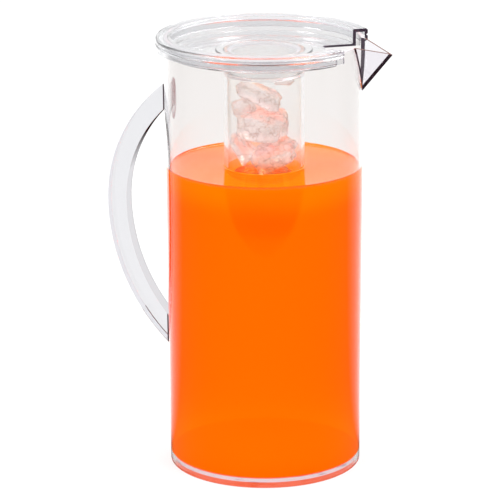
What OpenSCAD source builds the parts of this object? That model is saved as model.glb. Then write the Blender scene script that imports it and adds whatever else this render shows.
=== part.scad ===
// Clear pitcher with an ice core: a tapered jug with a wedge spout and an arched
// handle, a recessed lid with a pouring notch, and a closed tube for ice that
// screws up into the lid. Millimetres, +Z up, the spout towards +X.
// The origin is the centre of the face that the pitcher stands on.

/* [Jug] */
// Outer diameter of the wall at its rim
rim_d = 110; // [100:1:120]
// Outer diameter of the wall at the foot
foot_d = 106.4; // [98:0.2:112]
// Height of the wall's rim above the foot
rim_h = 241.2; // [235:0.2:260]
// Thickness of the wall
wall_t = 2.2; // [1.8:0.1:2.4]
// Thickness of the floor disc
floor_t = 5.8; // [3:0.2:8]
// Rounding of the wall's rim and foot edges
edge_r = 0.7; // [0.4:0.1:0.8]

/* [Spout] */
// Distance from the jug's axis to the tip of the spout
spout_reach = 71.6; // [68:0.2:76]
// Height of the tip below the rim
spout_tip_drop = 5.7; // [4:0.1:8]
// Height at which the keel meets the wall, below the rim
spout_keel_drop = 26.6; // [24:0.2:32]
// Angle around the jug that half of the spout takes up at the rim
spout_half_a = 15; // [12:0.5:17]
// Thickness of the two spout plates
spout_t = 1.8; // [1.4:0.1:2.2]

/* [Handle] */
// Distance from the jug's axis to the outer edge of the handle at its widest
handle_reach = 88.9; // [84:0.1:95]
// Height of the widest point below the rim
handle_mid_drop = 93.2; // [86:0.2:100]
// Outer radius of the handle's upper arc
handle_upper_r = 84.6; // [80:0.2:90]
// Outer radius of the handle's lower arc
handle_lower_r = 112; // [106:0.5:118]
// Width of the bar from its outer edge to its inner edge
handle_w = 10.4; // [8:0.2:12]
// Thickness of the bar across the handle
handle_t = 10; // [8:0.5:12]
// Rounding of the bar's long edges
handle_r = 1.2; // [0.8:0.1:2]

/* [Lid] */
// Outer diameter of the lid's rim
lid_d = 118.8; // [117:0.2:121]
// Thickness of the lid's plate and walls
lid_t = 1.8; // [1.4:0.1:2]
// Depth of the rim's outside skirt below the lid's top
skirt_h = 7.2; // [6:0.2:9]
// Height of the groove that splits the skirt into two beads, below the top
groove_drop = 3.4; // [3:0.1:4]
// Depth of the plate below the lid's top
recess_h = 8.2; // [7:0.1:10]
// Radius at which the pouring notch begins
notch_r = 33.4; // [31:0.2:36]
// Angle around the lid that half of the notch takes up
notch_half_a = 30; // [26:0.5:34]
// Radius of the low raised pad at the lid's centre
pad_r = 26.5; // [25:0.1:28]
// Height of the pad above the plate
pad_h = 0.8; // [0.5:0.1:1]

/* [Ice core] */
// Outer diameter of the tube and of the lid's collar
tube_d = 44.4; // [42:0.2:46]
// Thickness of the tube
tube_t = 2; // [1.6:0.1:2.2]
// Depth of the collar below the plate
collar_h = 9.5; // [8:0.1:12]
// Length of the tube's straight part below the collar
tube_straight = 53; // [40:1:70]
// Length of the tube's tapered, rounded end
tube_nose = 52; // [40:1:60]
// Thickness of the ring that seals the tube's mouth
seal_t = 1.2; // [0.8:0.1:1.4]

/* [Hidden] */
$fn = 96;

// Clearances: cement film, hand fit of the lid, thread fit of the tube, seat
bond_gap = 0.05;
lid_fit = 0.25;
thread_fit = 0.2;
seat_gap = 0.05;
eps = 0.01;

rim_r = rim_d / 2;
foot_r = foot_d / 2;
lid_r = lid_d / 2;
tube_r = tube_d / 2;

spout_tip_h = rim_h - spout_tip_drop;
spout_keel_h = rim_h - spout_keel_drop;
handle_mid_h = rim_h - handle_mid_drop;

lid_top = rim_h + seat_gap + lid_t;
plate_top = lid_top - recess_h;
plate_low = plate_top - lid_t;
collar_low = plate_low - collar_h;
mouth_h = plate_low - seat_gap - seal_t;
shoulder_h = collar_low - seat_gap;
nose_h = shoulder_h - tube_straight;

// Radii of the lid's inner wall, of its skirt and of the collar
well_out_r = rim_r - wall_t - lid_fit;
well_in_r = well_out_r - lid_t;
skirt_in_r = lid_r - lid_t;
collar_in_r = tube_r - tube_t + thread_fit / 2;
neck_r = collar_in_r - thread_fit;
neck_in_r = neck_r - tube_t;

// Lean of the keel from upright and half the angle between the plates,
// both from the tip, the foot of the keel and the corner on the rim
keel_foot_r = wall_r(spout_keel_h);
keel_lean = atan2(spout_reach - keel_foot_r, spout_tip_h - spout_keel_h);
corner_x = rim_r * cos(spout_half_a) - keel_foot_r;
corner_y = rim_r * sin(spout_half_a);
corner_z = spout_keel_drop;
vee_half_a = atan2(corner_y, corner_z * sin(keel_lean) - corner_x * cos(keel_lean));
brow_slope = atan2(spout_tip_drop, spout_reach - rim_r * cos(spout_half_a));

// Outer radius of the wall at a height
function wall_r(h) = foot_r + (rim_r - foot_r) * h / rim_h;

// Points of an arc about a centre, from one angle to another
function arc(c, r, from, to, steps = 6) =
    [for (i = [0:steps]) let (a = from + (to - from) * i / steps)
        [c[0] + r * cos(a), c[1] + r * sin(a)]];

// Points of a quarter of an ellipse that ends on the axis, from the side inwards
function nose(r, top, length, steps = 24) =
    [for (i = [0:steps]) let (a = 90 * i / steps)
        [i == steps ? 0 : r * cos(a), top - length * sin(a)]];

// The jug's full outside as a solid, grown by a gap, to trim what is bonded to it
module jug_form(gap = 0) {
    above = rim_h * 1.1;
    below = -rim_h * 0.1;
    rotate_extrude()
        polygon([[0, below], [wall_r(below) + gap, below],
                 [wall_r(above) + gap, above], [0, above]]);
}

// The wall's section: straight taper with rounded edges at the rim and the foot
module wall_section() {
    r = min(edge_r, wall_t / 2 - eps);
    polygon(concat(
        arc([wall_r(r) - r, r], r, -90, 0),
        arc([wall_r(rim_h - r) - r, rim_h - r], r, 0, 90),
        arc([wall_r(rim_h - r) - wall_t + r, rim_h - r], r, 90, 180),
        [[wall_r(0) - wall_t, 0]]));
}

// A wedge along the keel, its edge set back into the spout, reaching into the jug
module keel_wedge(setback) {
    depth = 1.5 * corner_z;
    run = 2 * corner_z;
    back = setback / sin(vee_half_a);
    translate([keel_foot_r, 0, spout_keel_h])
        rotate([0, keel_lean, 0])
            translate([-back, 0, -run / 2])
                linear_extrude(height = run * 1.5)
                    polygon([[0, 0], [-depth, depth * tan(vee_half_a)],
                             [-depth, -depth * tan(vee_half_a)]]);
}

// Everything above the sloping brow of the spout
module above_brow() {
    size = 2 * rim_r;
    translate([spout_reach, 0, spout_tip_h])
        rotate([0, brow_slope, 0])
            translate([-size, -size / 2, 0]) cube(size * [2, 1, 1]);
}

// One of the spout's two flat plates, mitred where they meet along the keel
module spout_plate(side) {
    span = 2 * corner_y;
    difference() {
        keel_wedge(0);
        keel_wedge(spout_t);
        jug_form(bond_gap);
        above_brow();
        translate([0, side > 0 ? -span : 0, 0]) cube([2 * rim_r, span, 2 * rim_h]);
    }
}

// A bar section with rounded long edges, centred on its own middle
module bar_section(w, t, r) {
    square([w - 2 * r, t], center = true);
    square([w, t - 2 * r], center = true);
    for (sx = [-1, 1], sy = [-1, 1])
        translate([sx * (w / 2 - r), sy * (t / 2 - r)]) circle(r, $fn = 32);
}

// One arc of the handle, from its widest point up (turn > 0) or down
module handle_arc(r, turn) {
    translate([-(handle_reach - r), 0, handle_mid_h])
        rotate([90, 0, 180])
            mirror([0, turn > 0 ? 0 : 1, 0])
                rotate_extrude(angle = 80, $fn = 160)
                    translate([r - handle_w / 2, 0])
                        bar_section(handle_w, handle_t, handle_r);
}

// The outside of the lid's skirt: two rounded beads with a groove between them
function skirt_beads(r = 0.3 * lid_t) =
    let (groove = lid_top - groove_drop, foot = lid_top - skirt_h, x = lid_r - r)
    concat(arc([x - r, lid_top - 2 * r], 2 * r, 90, 0),
           arc([x, groove + r], r, 0, -90, 3),
           arc([x, groove - r - eps], r, 90, 0, 3),
           arc([x, foot + r], r, 0, -90, 3));

// Half of the lid's section: the pad and the sunk plate, the channel over the
// jug's rim, and the collar that takes the tube
module lid_section() {
    pad_edge = pad_h / 2;
    top_edge = lid_t / 2;
    collar_edge = lid_t / 4;
    polygon(concat(
        [[0, plate_top + pad_h]],
        arc([pad_r - pad_edge, plate_top + pad_h - pad_edge], pad_edge, 90, 0),
        [[pad_r, plate_top], [well_in_r, plate_top]],
        arc([well_in_r + top_edge, lid_top - top_edge], top_edge, 180, 90),
        skirt_beads(),
        [[skirt_in_r, lid_top - skirt_h], [skirt_in_r, lid_top - lid_t],
         [well_out_r, lid_top - lid_t], [well_out_r, plate_low], [tube_r, plate_low]],
        arc([tube_r - collar_edge, collar_low + collar_edge], collar_edge, 0, -90),
        [[collar_in_r, collar_low], [collar_in_r, plate_low], [0, plate_low]]));
}

module body_wall() {
    color("azure", 0.4)
    difference() {
        rotate_extrude($fn = 160) wall_section();
        intersection() {
            keel_wedge(spout_t);
            translate([0, -rim_r, 0]) cube([2 * rim_r, 2 * rim_r, 2 * rim_h]);
        }
    }
}

module base_disc() {
    color("azure", 0.4)
    rotate_extrude($fn = 160)
        polygon([[0, 0], [wall_r(0) - wall_t - bond_gap, 0],
                 [wall_r(floor_t) - wall_t - bond_gap, floor_t], [0, floor_t]]);
}

module spout_plate_left() {
    color("thistle", 0.5) spout_plate(1);
}

module spout_plate_right() {
    color("thistle", 0.5) spout_plate(-1);
}

module handle() {
    color("lavender", 0.6)
    difference() {
        union() {
            handle_arc(handle_upper_r, 1);
            handle_arc(handle_lower_r, -1);
        }
        jug_form(bond_gap);
    }
}

module lid() {
    reach = lid_r - notch_r + lid_t;
    color("lightcyan", 0.4)
    difference() {
        rotate_extrude($fn = 160) lid_section();
        rotate([0, 0, -notch_half_a])
            translate([0, 0, plate_low - lid_t])
                rotate_extrude(angle = 2 * notch_half_a, $fn = 160)
                    translate([notch_r, 0]) square([reach, recess_h + 3 * lid_t]);
    }
}

module tube_seal() {
    color("whitesmoke", 0.6)
    rotate_extrude()
        translate([neck_in_r, mouth_h + seat_gap / 2])
            square([neck_r - neck_in_r, seal_t]);
}

module ice_tube() {
    inner_r = tube_r - tube_t;
    inner = nose(inner_r, nose_h, tube_nose - tube_t);
    step = tube_t;
    color("lightcyan", 0.4)
    rotate_extrude()
        polygon(concat(
            [[neck_r, mouth_h], [neck_r, shoulder_h], [tube_r, shoulder_h]],
            nose(tube_r, nose_h, tube_nose),
            [for (i = [len(inner) - 1:-1:0]) inner[i]],
            [[inner_r, shoulder_h - step], [neck_in_r, shoulder_h],
             [neck_in_r, mouth_h]]));
}

body_wall();
base_disc();
spout_plate_left();
spout_plate_right();
handle();
lid();
tube_seal();
ice_tube();
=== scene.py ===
"""The look of a clear plastic pitcher with an ice core, built round its CAD frame.

Everything is in metres in the CAD's frame: the origin is the centre of the foot, +Z is up and the
spout points towards +X. Sizes that belong to one piece are dataclass fields in millimetres.
"""
import logging
import math
import random
from dataclasses import dataclass, replace
from enum import Enum
from typing import Any, ClassVar, Iterable, Sequence

import bmesh
import bpy
from mathutils import Matrix, Vector, noise


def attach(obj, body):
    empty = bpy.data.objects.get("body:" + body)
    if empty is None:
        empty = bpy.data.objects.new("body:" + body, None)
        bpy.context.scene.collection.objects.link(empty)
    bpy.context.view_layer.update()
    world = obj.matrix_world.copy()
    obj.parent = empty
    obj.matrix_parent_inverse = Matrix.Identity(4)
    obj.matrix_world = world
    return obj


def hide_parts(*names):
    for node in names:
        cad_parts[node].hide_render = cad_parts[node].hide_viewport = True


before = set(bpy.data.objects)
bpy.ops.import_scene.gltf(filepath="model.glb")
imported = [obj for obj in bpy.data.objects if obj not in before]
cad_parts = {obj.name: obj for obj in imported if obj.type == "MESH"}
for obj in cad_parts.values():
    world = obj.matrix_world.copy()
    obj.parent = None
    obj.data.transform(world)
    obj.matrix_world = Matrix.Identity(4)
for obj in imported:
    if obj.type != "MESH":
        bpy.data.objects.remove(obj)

log = logging.getLogger("pitcher")
MM = 0.001
# How far from a rounding its guard point stands, in millimetres
GUARD = 0.04
# Full white for light
WHITE = (1.0, 1.0, 1.0, 1.0)
# Points closer than this are one, in metres
MERGE = 1e-7
# Facets round a large turned piece
FINE_STEPS = 256
# Edges sharper than this stay crisp, in degrees
CRISP = 35.0
# How often light may pass clear walls, and be mirrored
CLEAR_BOUNCES = 32
GLOSSY_BOUNCES = 12
# How strongly acrylic bends light
ACRYLIC_IOR = 1.49
# How far the photograph's view is turned from the front, in degrees
PHOTO_TURN = 14.0

Point = tuple[float, float]
Point3 = tuple[float, float, float]


class Body(Enum):
    """The bodies of the CAD model that new pieces ride on."""

    JUG = "jug"
    LID = "lid"
    CORE = "core"


class Slot(Enum):
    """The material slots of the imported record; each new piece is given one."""

    JUG = "jug_plastic"
    SHEET = "sheet_plastic"
    BAR = "bar_plastic"
    LID = "lid_plastic"
    CORE = "core_plastic"


def linear(code: str) -> tuple[float, float, float, float]:
    """Turns an sRGB hex colour to linear light.

    Args:
        code: the colour as six hex digits after a hash sign.

    Returns:
        Red, green, blue and full opacity.
    """
    parts = [int(code[i:i + 2], 16) / 255 for i in (1, 3, 5)]
    light = [c / 12.92 if c <= 0.04045 else ((c + 0.055) / 1.055) ** 2.4 for c in parts]
    return (*light, 1.0)


def add_node(tree: bpy.types.NodeTree, kind: str, links: dict[Any, Any] | None = None,
             inputs: dict[Any, Any] | None = None, **settings: Any) -> bpy.types.Node:
    """Adds a node with its settings and links.

    Args:
        tree: the node tree that gets it.
        kind: the node's type name.
        links: by input, the socket that goes into it, or a node for its first output.
        inputs: plain values by input.
        settings: the node's own properties.

    Returns:
        The new node.
    """
    node = tree.nodes.new(kind)
    for name, value in settings.items():
        setattr(node, name, value)
    for name, value in (inputs or {}).items():
        node.inputs[name].default_value = value
    for name, source in (links or {}).items():
        tree.links.new(getattr(source, "outputs", [source])[0], node.inputs[name])
    return node


def new_material(name: str) -> tuple[bpy.types.Material, bpy.types.NodeTree]:
    """Makes an empty node material.

    Args:
        name: the material's name.

    Returns:
        The material and its node tree.
    """
    material = bpy.data.materials.new(name)
    material.use_nodes = True
    material.node_tree.nodes.clear()
    return material, material.node_tree


def object_place(tree: bpy.types.NodeTree) -> bpy.types.Node:
    """Adds a point's place on the object.

    Args:
        tree: the material's tree.

    Returns:
        The node with X, Y and Z, in metres.
    """
    place = add_node(tree, "ShaderNodeTexCoord")
    return add_node(tree, "ShaderNodeSeparateXYZ", {0: place.outputs["Object"]})


def surface_noise(tree: bpy.types.NodeTree, grain_mm: float, detail: float = 2.0,
                  stretch: Sequence[float] = (1.0, 1.0, 1.0)) -> bpy.types.Node:
    """Adds a noise texture in object coordinates.

    Args:
        tree: the material's tree.
        grain_mm: the size of one lump of the noise.
        detail: how many finer layers the noise has.
        stretch: how much the noise is squeezed along each axis.

    Returns:
        The noise node.
    """
    place = add_node(tree, "ShaderNodeTexCoord")
    turn = add_node(tree, "ShaderNodeMapping", {"Vector": place.outputs["Object"]},
                    {"Scale": stretch})
    return add_node(tree, "ShaderNodeTexNoise", {"Vector": turn},
                    {"Scale": 1 / (grain_mm * MM), "Detail": detail})


def is_light_probe(tree: bpy.types.NodeTree) -> bpy.types.Node:
    """Tells the rays that only carry light, shadow and diffuse ones, from those that show a view.

    Args:
        tree: the material's tree.

    Returns:
        A node that gives 1 for such a ray.
    """
    path = add_node(tree, "ShaderNodeLightPath")
    return add_node(tree, "ShaderNodeMath", {0: path.outputs["Is Shadow Ray"],
                                             1: path.outputs["Is Diffuse Ray"]},
                    operation="MAXIMUM")


def is_mirror_ray(tree: bpy.types.NodeTree) -> bpy.types.Node:
    """Tells the rays that a surface mirrors from those that it lets through.

    Args:
        tree: the material's tree.

    Returns:
        A node that gives 1 for a mirrored ray.
    """
    path = add_node(tree, "ShaderNodeLightPath")
    return add_node(tree, "ShaderNodeMath", {0: path.outputs["Is Glossy Ray"],
                                             1: path.outputs["Is Transmission Ray"]},
                    operation="SUBTRACT", use_clamp=True)


@dataclass(frozen=True)
class Finish:
    """A finish that lets light through. Rays that only carry light pass it straight, as they pass
    thin plastic, so that what is inside the pitcher stays lit."""

    name: str
    passes: ClassVar[str] = "#F7F6F8"

    def make(self) -> bpy.types.Material:
        """Builds the material.

        Returns:
            The finished material.
        """
        material, tree = new_material(self.name)
        through = add_node(tree, "ShaderNodeBsdfTransparent", inputs={"Color": linear(self.passes)})
        mix = add_node(tree, "ShaderNodeMixShader",
                       {0: is_light_probe(tree), 1: self.look(tree), 2: through})
        add_node(tree, "ShaderNodeOutputMaterial", {"Surface": mix})
        return material

    def look(self, tree: bpy.types.NodeTree) -> bpy.types.Node:
        """Gives the shader that shows. Each finish has its own."""
        raise NotImplementedError


@dataclass(frozen=True)
class ClearPlastic(Finish):
    """A clear plastic, which may be fogged, cemented, or given a tinted painted reflection."""

    tint: str
    ior: float = ACRYLIC_IOR
    roughness: float = 0.0
    ripple_mm: float = 18.0
    ripple_depth_mm: float = 0.004
    face_gloss: str = "#FFFFFF"
    cement: str = "#5A3A40"
    cement_clear: float = 0.15
    fog: float = 0.0
    fog_colour: str = "#B8C4C8"
    fog_light: float = 0.6
    fog_spread: float = 0.3
    fog_grain_mm: float = 14.0
    fog_from: float = 173.0
    fog_rise: float = 8.0
    mirrored: str = ""

    def look(self, tree: bpy.types.NodeTree) -> bpy.types.Node:
        """Gives the plastic's shader.

        Args:
            tree: the material's tree.

        Returns:
            The shader.
        """
        bump = add_node(tree, "ShaderNodeBump", {"Height": surface_noise(tree, self.ripple_mm)},
                        {"Strength": 1.0, "Distance": self.ripple_depth_mm * MM})
        shell = add_node(tree, "ShaderNodeBsdfPrincipled", {"Normal": bump},
                         {"Base Color": linear(self.tint), "Roughness": self.roughness,
                          "IOR": self.ior, "Transmission Weight": 1.0,
                          "Specular Tint": linear(self.face_gloss)})
        bonded = self.bonded(tree)
        if bonded is not None:
            cement = add_node(tree, "ShaderNodeBsdfPrincipled",
                              inputs={"Base Color": linear(self.cement), "Roughness": 0.4,
                                      "IOR": self.ior, "Transmission Weight": self.cement_clear})
            shell = add_node(tree, "ShaderNodeMixShader", {0: bonded, 1: shell, 2: cement})
        if self.fog:
            shell = self.fogged(tree, shell)
        # Mirror rays that meet the outside see the tint as a painted reflection
        if self.mirrored:
            warm = add_node(tree, "ShaderNodeBsdfTransparent",
                            inputs={"Color": linear(self.mirrored)})
            side = add_node(tree, "ShaderNodeNewGeometry")
            entering = add_node(tree, "ShaderNodeMath", {0: is_mirror_ray(tree),
                                                         1: side.outputs["Backfacing"]},
                                operation="SUBTRACT", use_clamp=True)
            shell = add_node(tree, "ShaderNodeMixShader", {0: entering, 1: shell, 2: warm})
        return shell

    def fogged(self, tree: bpy.types.NodeTree, shell: bpy.types.Node) -> bpy.types.Node:
        """Lays fine condensation over the plastic, glowing white as painted light.

        Args:
            tree: the material's tree.
            shell: the clear plastic's shader.

        Returns:
            The two mixed.
        """
        drops = surface_noise(tree, self.fog_grain_mm, 1.0)
        amount = add_node(tree, "ShaderNodeMapRange", {"Value": drops},
                          {"From Min": 0.3, "From Max": 0.7,
                           "To Min": self.fog * (1 - self.fog_spread),
                           "To Max": self.fog * (1 + self.fog_spread)})
        rise = add_node(tree, "ShaderNodeMapRange", {"Value": object_place(tree).outputs["Z"]},
                        {"From Min": self.fog_from * MM,
                         "From Max": (self.fog_from + self.fog_rise) * MM})
        amount = add_node(tree, "ShaderNodeMath", {0: amount, 1: rise}, operation="MULTIPLY")
        # The mist glows white: painted light on the condensation
        mist = add_node(tree, "ShaderNodeBsdfPrincipled",
                        inputs={"Base Color": linear(self.fog_colour), "Roughness": 0.8,
                                "Emission Color": linear("#FFFFFF"),
                                "Emission Strength": self.fog_light})
        return add_node(tree, "ShaderNodeMixShader", {0: amount, 1: shell, 2: mist})

    def bonded(self, tree: bpy.types.NodeTree) -> bpy.types.Node | None:
        """Tells where dried cement shows. Plain plastic has none."""
        return None


@dataclass(frozen=True)
class BondedBar(ClearPlastic):
    """A bar whose ends are cemented to a tapered tube: the joint shows as a dark line."""

    cement: str = "#3A2A30"
    foot_r: float = 53.2
    slope: float = 1.8 / 241.2
    line_mm: float = 1.35
    line_half_mm: float = 0.42

    def bonded(self, tree: bpy.types.NodeTree) -> bpy.types.Node | None:
        """Tells where the bar is within a hair of the tube.

        Args:
            tree: the material's tree.

        Returns:
            A node that gives 1 on the joint's line.
        """
        place = object_place(tree)
        level = add_node(tree, "ShaderNodeCombineXYZ", {"X": place.outputs["X"],
                                                        "Y": place.outputs["Y"]})
        out = add_node(tree, "ShaderNodeVectorMath", {0: level}, operation="LENGTH")
        wall = add_node(tree, "ShaderNodeMath", {0: place.outputs["Z"]},
                        {1: self.slope, 2: self.foot_r * MM}, operation="MULTIPLY_ADD")
        gap = add_node(tree, "ShaderNodeMath", {0: out.outputs["Value"], 1: wall},
                       operation="SUBTRACT")
        return add_node(tree, "ShaderNodeMath", {0: gap},
                        {1: self.line_mm * MM, 2: self.line_half_mm * MM}, operation="COMPARE")


@dataclass(frozen=True)
class BondedTube(ClearPlastic):
    """A tube with a lens-shaped ring of dried cement where each end of the handle is bonded."""

    cement: str = "#8C6068"
    marks: tuple[tuple[float, float], ...] = ((205.0, 12.0), (91.0, 8.0))
    half_w: float = 4.6
    film: float = 0.18
    ring: tuple[tuple[float, float], ...] = ((0.68, 0.25), (0.86, 0.6), (0.95, 0.5))

    def bonded(self, tree: bpy.types.NodeTree) -> bpy.types.Node | None:
        """Draws the rings round a faint film, on the handle's side alone.

        Args:
            tree: the material's tree.

        Returns:
            A node that gives 1 where the cement is thick.
        """
        place = object_place(tree)
        behind = add_node(tree, "ShaderNodeMath", {0: place.outputs["X"]}, {1: 0.0},
                          operation="LESS_THAN")
        total = None
        for height, half_h in self.marks:
            across = add_node(tree, "ShaderNodeMath", {0: place.outputs["Y"]},
                              {1: 1 / (self.half_w * MM)}, operation="MULTIPLY")
            up = add_node(tree, "ShaderNodeMath", {0: place.outputs["Z"]},
                          {1: 1 / (half_h * MM), 2: -height / half_h}, operation="MULTIPLY_ADD")
            spot = add_node(tree, "ShaderNodeCombineXYZ", {"X": across, "Y": up})
            out = add_node(tree, "ShaderNodeVectorMath", {0: spot}, operation="LENGTH")
            ring = add_node(tree, "ShaderNodeFloatCurve", {"Value": out.outputs["Value"]})
            points = ring.mapping.curves[0].points
            points[0].location, points[1].location = (0.0, self.film), (1.0, 0.0)
            for where, amount in self.ring:
                points.new(where, amount)
            ring.mapping.update()
            here = add_node(tree, "ShaderNodeMath", {0: ring, 1: behind}, operation="MULTIPLY")
            total = here if total is None else add_node(
                tree, "ShaderNodeMath", {0: total, 1: here}, operation="MAXIMUM")
        return total


# Extruded acrylic tube: water-clear, faint drawing ripple, cement marks at the handle
TUBE_ACRYLIC = BondedTube("acrylic_tube_extruded", "#F9F7F6", face_gloss="#505050")
# Cast acrylic sheet, cut and cemented: a lilac cast where light runs along the sheet
SHEET_ACRYLIC = ClearPlastic("acrylic_sheet_cast", "#FAF8FB", ripple_depth_mm=0.001)
# Acrylic bar bent warm and flame-polished: slightly uneven, pale lilac, dark at its joints
BAR_ACRYLIC = BondedBar("acrylic_bar_bent", "#EFEFF2")
# Styrene-acrylonitrile, injection moulded: crisp gloss with slow flow ripple
LID_PLASTIC = ClearPlastic("styrene_acrylonitrile_moulded", "#F0F1F3", ior=1.52, roughness=0.05,
                           ripple_depth_mm=0.006)
# The same plastic blown for the core, wavier. The drink's surface mirrors it warm:
# a painted reflection
CORE_PLASTIC = ClearPlastic("styrene_acrylonitrile_core", "#FAFBFA", ior=1.56,
                            ripple_depth_mm=0.01, mirrored="#FFB020")
# Its outside above the drink, fogged by the cold ice, the fog glowing white as painted light
FOGGED_CORE = replace(CORE_PLASTIC, name="styrene_acrylonitrile_fogged", fog=0.2)


@dataclass(frozen=True)
class Edge(Finish):
    """A cut or cemented face of acrylic. Its fine scratches hold back part of the light, and how
    much differs between light that comes from outside and light that runs along inside. A matt
    face lets none through. With straight, the face fades to plain clear below a height."""

    passes: ClassVar[str] = "#C8C2C6"
    outside: str
    inside: str
    gloss: float = 0.1
    roughness: float = 0.25
    scratch_mm: float = 0.6
    see_through: float = 0.5
    straight: str = ""
    straight_share: float = 0.85
    fade_from: float = 178.0
    fade_to: float = 158.0
    matt: bool = False

    def look(self, tree: bpy.types.NodeTree) -> bpy.types.Node:
        """Gives the shaders of the face's outside and inside, mixed.

        Args:
            tree: the material's tree.

        Returns:
            The shader.
        """
        scratch = surface_noise(tree, self.scratch_mm, 3.0, (1.0, 1.0, 0.3))
        bump = add_node(tree, "ShaderNodeBump", {"Height": scratch},
                        {"Strength": 0.2, "Distance": 0.03 * MM})
        if self.matt:
            looks = [add_node(tree, "ShaderNodeBsdfDiffuse", {"Normal": bump},
                              {"Color": linear(code)}) for code in (self.outside, self.inside)]
        else:
            looks = [add_node(tree, "ShaderNodeBsdfPrincipled", {"Normal": bump},
                              {"Base Color": linear(self.outside), "Roughness": self.roughness,
                               "IOR": ACRYLIC_IOR, "Specular IOR Level": self.gloss,
                               "Transmission Weight": self.see_through}),
                     add_node(tree, "ShaderNodeBsdfGlass",
                              inputs={"Color": linear(self.inside), "Roughness": 0.02,
                                      "IOR": ACRYLIC_IOR})]
        if self.straight:
            plain = add_node(tree, "ShaderNodeBsdfTransparent",
                             inputs={"Color": linear(self.straight)})
            low = add_node(tree, "ShaderNodeMapRange", {"Value": object_place(tree).outputs["Z"]},
                           {"From Min": self.fade_from * MM, "From Max": self.fade_to * MM,
                            "To Max": self.straight_share})
            looks = [add_node(tree, "ShaderNodeMixShader", {0: low, 1: look, 2: plain})
                     for look in looks]
        side = add_node(tree, "ShaderNodeNewGeometry")
        return add_node(tree, "ShaderNodeMixShader",
                        {0: side.outputs["Backfacing"], 1: looks[0], 2: looks[1]})


# Saw-cut edge: dark plum from outside, clear to light that comes through the piece
SAWN_EDGE = Edge("acrylic_edge_sawn", "#4A3A4C", "#C9C3C8")
# Cemented mitre: the joint reads as a dark plum line from both sides
CEMENTED_EDGE = Edge("acrylic_edge_cemented", "#7A646E", "#8A7480")
# Cemented end of the bar: a thin film, mauve
BONDED_END = Edge("acrylic_edge_bonded", "#C0A8AA", "#B8A2A6")
# Scraped top edge of the spout's plates: a thin brown line
SCRAPED_EDGE = Edge("acrylic_edge_scraped", "#6A3A30", "#8A6A66", see_through=0.1)
# Flame-polished outer edge of the bar: soft grey, and pale seen through the bar
OUTER_EDGE = Edge("acrylic_edge_polished", "#E4E2E6", "#F3F3F5", gloss=0.5, roughness=0.08,
                  straight="#F1F0F4", fade_from=260.0, fade_to=240.0)
# Its inner edge: black where the upper arc turns away from the light, pale grey below
INNER_EDGE = Edge("acrylic_edge_inner", "#2A1A18", "#2E1E20", matt=True, straight="#F6F5F7",
                  fade_from=186.0, fade_to=164.0)
# Its outer edge at the lower end, where cement has run along it: a thin brown-red line
RUN_EDGE = Edge("acrylic_edge_run", "#6E2418", "#6E3A30", matt=True)
# Turned rim of the wall: fine satin, so it shows pale and not the drink's colour
RIM_EDGE = Edge("acrylic_edge_turned", "#E6E2E5", "#DCD6DA", see_through=0.3)
# The near side of the spout's slot, cemented without a gap: nearly unseen
CLEAR_EDGE = Edge("acrylic_edge_clear", "#ECE8EA", "#E8E4E6", see_through=0.4)


@dataclass(frozen=True)
class FloorAcrylic(Finish):
    """Thick cast sheet seen through its edge: pale in its middle, with a painted reflection of the
    drink's colour, which glows, in its lower half and along its top."""

    name: str = "acrylic_floor_cast"
    pale: str = "#FFF6FB"
    lilac: str = "#9C7090"
    mirrored: str = "#F05600"
    mirrored_share: float = 0.85
    mirrored_light: float = 0.3
    split_mm: float = 2.9
    top_mm: float = 5.1
    blur_mm: float = 0.2
    streak_mm: float = 14.0
    streak_from: float = 0.52
    streak_full: float = 0.7
    streak_share: float = 0.8

    def look(self, tree: bpy.types.NodeTree) -> bpy.types.Node:
        """Gives the floor's clear band between its bands of painted reflection.

        Args:
            tree: the material's tree.

        Returns:
            The shader.
        """
        place = object_place(tree)
        bands = [add_node(tree, "ShaderNodeMapRange", {"Value": place.outputs["Z"]},
                          {"From Min": (height - blur) * MM, "From Max": (height + blur) * MM,
                           "To Max": self.mirrored_share})
                 for height, blur in ((self.split_mm, -self.blur_mm), (self.top_mm, self.blur_mm))]
        glows = add_node(tree, "ShaderNodeMath", {0: bands[0], 1: bands[1]}, operation="MAXIMUM")
        streak = surface_noise(tree, self.streak_mm, 3.0, (1.0, 1.0, 6.0))
        lilac = add_node(tree, "ShaderNodeMapRange", {"Value": streak},
                         {"From Min": self.streak_from, "From Max": self.streak_full,
                          "To Max": self.streak_share})
        colour = add_node(tree, "ShaderNodeMix", {0: lilac},
                          {6: linear(self.pale), 7: linear(self.lilac)}, data_type="RGBA")
        clear = add_node(tree, "ShaderNodeBsdfPrincipled", {"Base Color": colour.outputs[2]},
                         {"Roughness": 0.2, "IOR": ACRYLIC_IOR, "Transmission Weight": 0.15})
        # A painted reflection of the drink's colour, which glows
        glow = add_node(tree, "ShaderNodeBsdfPrincipled",
                        inputs={"Base Color": linear(self.mirrored), "Roughness": 0.15,
                                "Specular IOR Level": 0.1,
                                "Emission Color": linear(self.mirrored),
                                "Emission Strength": self.mirrored_light})
        return add_node(tree, "ShaderNodeMixShader", {0: glows, 1: clear, 2: glow})


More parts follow.
